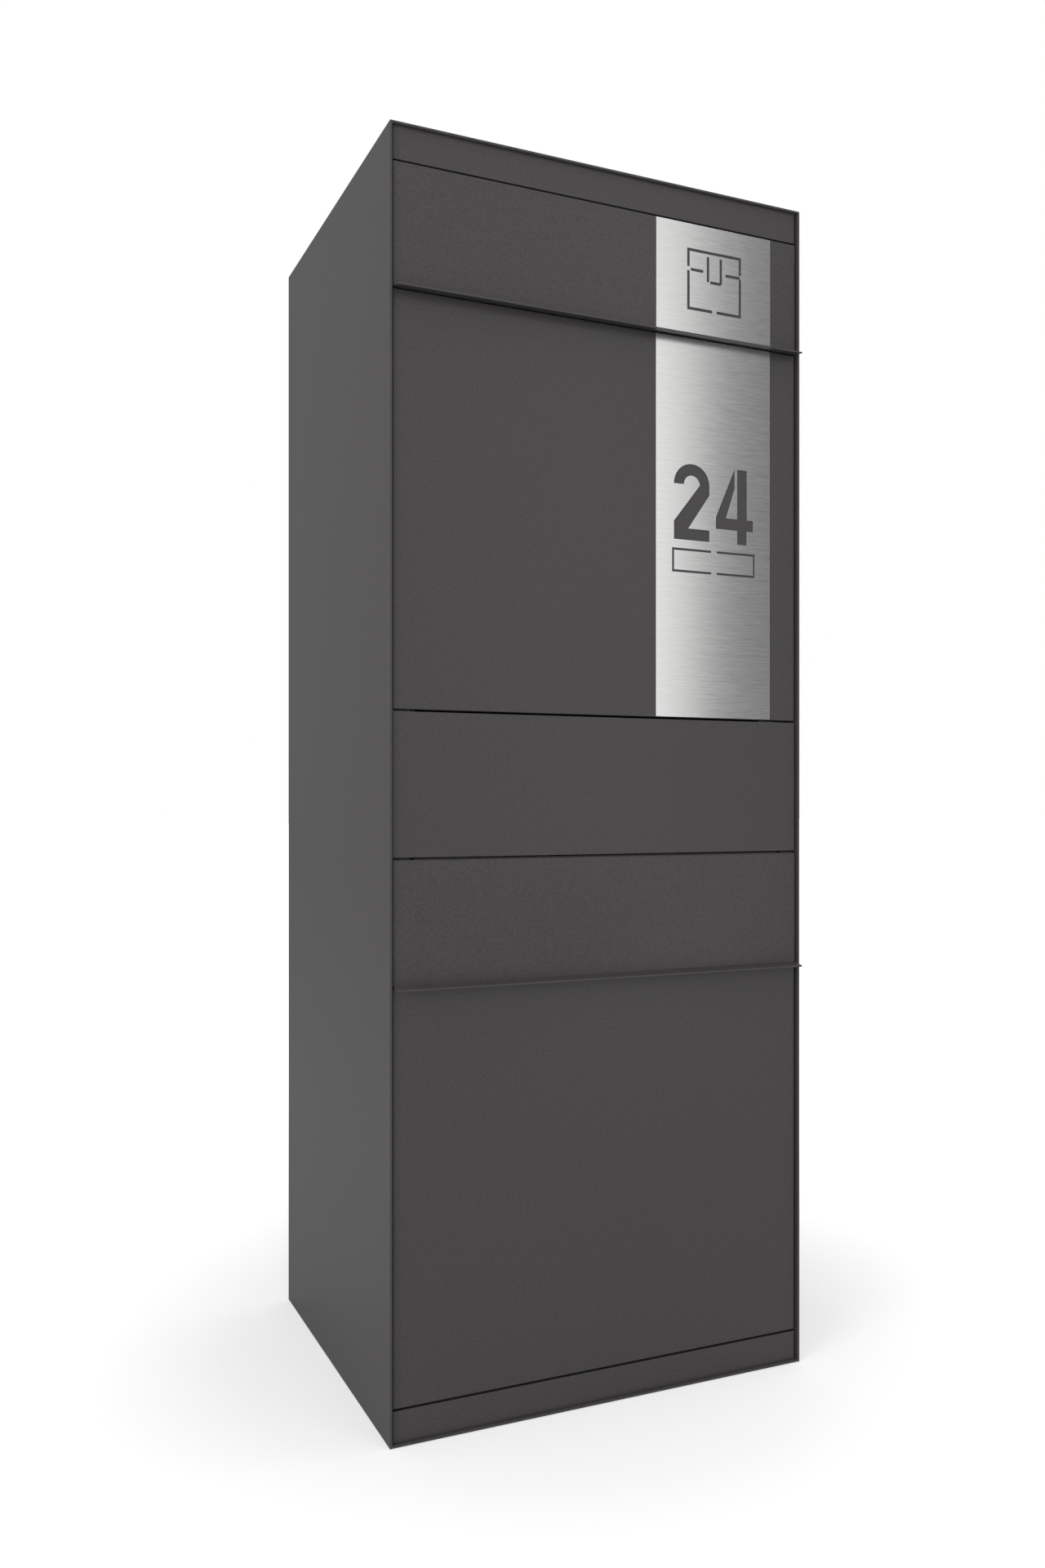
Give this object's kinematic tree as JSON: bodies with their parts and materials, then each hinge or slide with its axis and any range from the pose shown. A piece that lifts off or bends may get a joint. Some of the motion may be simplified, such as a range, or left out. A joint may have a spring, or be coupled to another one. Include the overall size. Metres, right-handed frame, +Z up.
{
  "type": "mailbox unit",
  "caption": "Free-standing sheet-steel mailbox unit with two compartments behind fold-down doors, each with a top-hung letter flap with a grip lip and a cam lock.",
  "frame": {"origin": "middle of the cabinet's footprint, on the surface it stands on", "axes": "+Z up, -Y towards the front, +X to the right as seen from the front"},
  "size_m": [0.41, 0.3594, 1.1],
  "materials": {
    "anthracite_paint": "fine matt powder coat",
    "stainless": "brushed crosswise",
    "galvanised": "galvanised, dull spangle",
    "bright_steel": "zinc plated",
    "lock_chrome": "satin chrome",
    "black_rubber": "moulded"
  },
  "bodies": {
    "cabinet": {"floor_plate": "anthracite_paint", "roof_panel": "anthracite_paint", "left_side_panel": "anthracite_paint", "right_side_panel": "anthracite_paint", "back_panel": "anthracite_paint", "top_fascia": "anthracite_paint", "bay_panel": "anthracite_paint", "bottom_fascia": "anthracite_paint", "left_front_post": "galvanised", "right_front_post": "galvanised", "upper_shelf": "galvanised", "lower_shelf": "galvanised", "shelf_rails": "galvanised", "upper_hinge_arms": "galvanised", "lower_hinge_arms": "galvanised", "door_buffers": "black_rubber", "front_screws": "bright_steel", "back_screws": "bright_steel", "cable_grommet": "black_rubber"},
    "upper_door": {"upper_door_panel": "anthracite_paint", "upper_door_frame": "galvanised", "upper_hinge_lugs": "galvanised", "upper_hinge_pins": "bright_steel", "upper_flap_brackets": "galvanised", "upper_letter_guide": "galvanised", "upper_lock_housing": "lock_chrome", "upper_lock_nut": "lock_chrome", "upper_flap_buffers": "black_rubber", "number_plate": "stainless"},
    "upper_flap": {"upper_flap_panel": "anthracite_paint", "upper_flap_rod": "bright_steel", "upper_flap_spring": "bright_steel", "pictogram_plate": "stainless"},
    "upper_lock": {"upper_lock_core": "lock_chrome", "upper_lock_cam": "lock_chrome", "upper_cam_screw": "bright_steel"},
    "lower_door": {"lower_door_panel": "anthracite_paint", "lower_door_frame": "galvanised", "lower_hinge_lugs": "galvanised", "lower_hinge_pins": "bright_steel", "lower_flap_brackets": "galvanised", "lower_letter_guide": "galvanised", "lower_lock_housing": "lock_chrome", "lower_lock_nut": "lock_chrome", "lower_flap_buffers": "black_rubber"},
    "lower_flap": {"lower_flap_panel": "anthracite_paint", "lower_flap_rod": "bright_steel", "lower_flap_spring": "bright_steel"},
    "lower_lock": {"lower_lock_core": "lock_chrome", "lower_lock_cam": "lock_chrome", "lower_cam_screw": "bright_steel"}
  },
  "joints": [
    {"name": "upper_door_fold", "type": "hinge", "parent": "cabinet", "child": "upper_door", "pos_m": [0, -0.1658, 0.6247], "axis": [1, 0, 0], "range_deg": [0, 90]},
    {"name": "upper_flap_lift", "type": "hinge", "parent": "upper_door", "child": "upper_flap", "pos_m": [0, -0.1669, 1.0579], "axis": [-1, 0, 0], "range_deg": [0, 80], "stiffness_Nm_per_rad": 0.06, "springref_deg": -22.92, "deforming": ["upper_flap_spring"]},
    {"name": "upper_lock_turn", "type": "hinge", "parent": "upper_door", "child": "upper_lock", "pos_m": [0.15, -0.1488, 0.9764], "axis": [0, -1, 0], "range_deg": [0, 90]},
    {"name": "lower_door_fold", "type": "hinge", "parent": "cabinet", "child": "lower_door", "pos_m": [0, -0.1658, 0.0425], "axis": [1, 0, 0], "range_deg": [0, 90]},
    {"name": "lower_flap_lift", "type": "hinge", "parent": "lower_door", "child": "lower_flap", "pos_m": [0, -0.1669, 0.4757], "axis": [-1, 0, 0], "range_deg": [0, 80], "stiffness_Nm_per_rad": 0.06, "springref_deg": -22.92, "deforming": ["lower_flap_spring"]},
    {"name": "lower_lock_turn", "type": "hinge", "parent": "lower_door", "child": "lower_lock", "pos_m": [0.15, -0.1488, 0.3942], "axis": [0, -1, 0], "range_deg": [0, 90]}
  ]
}
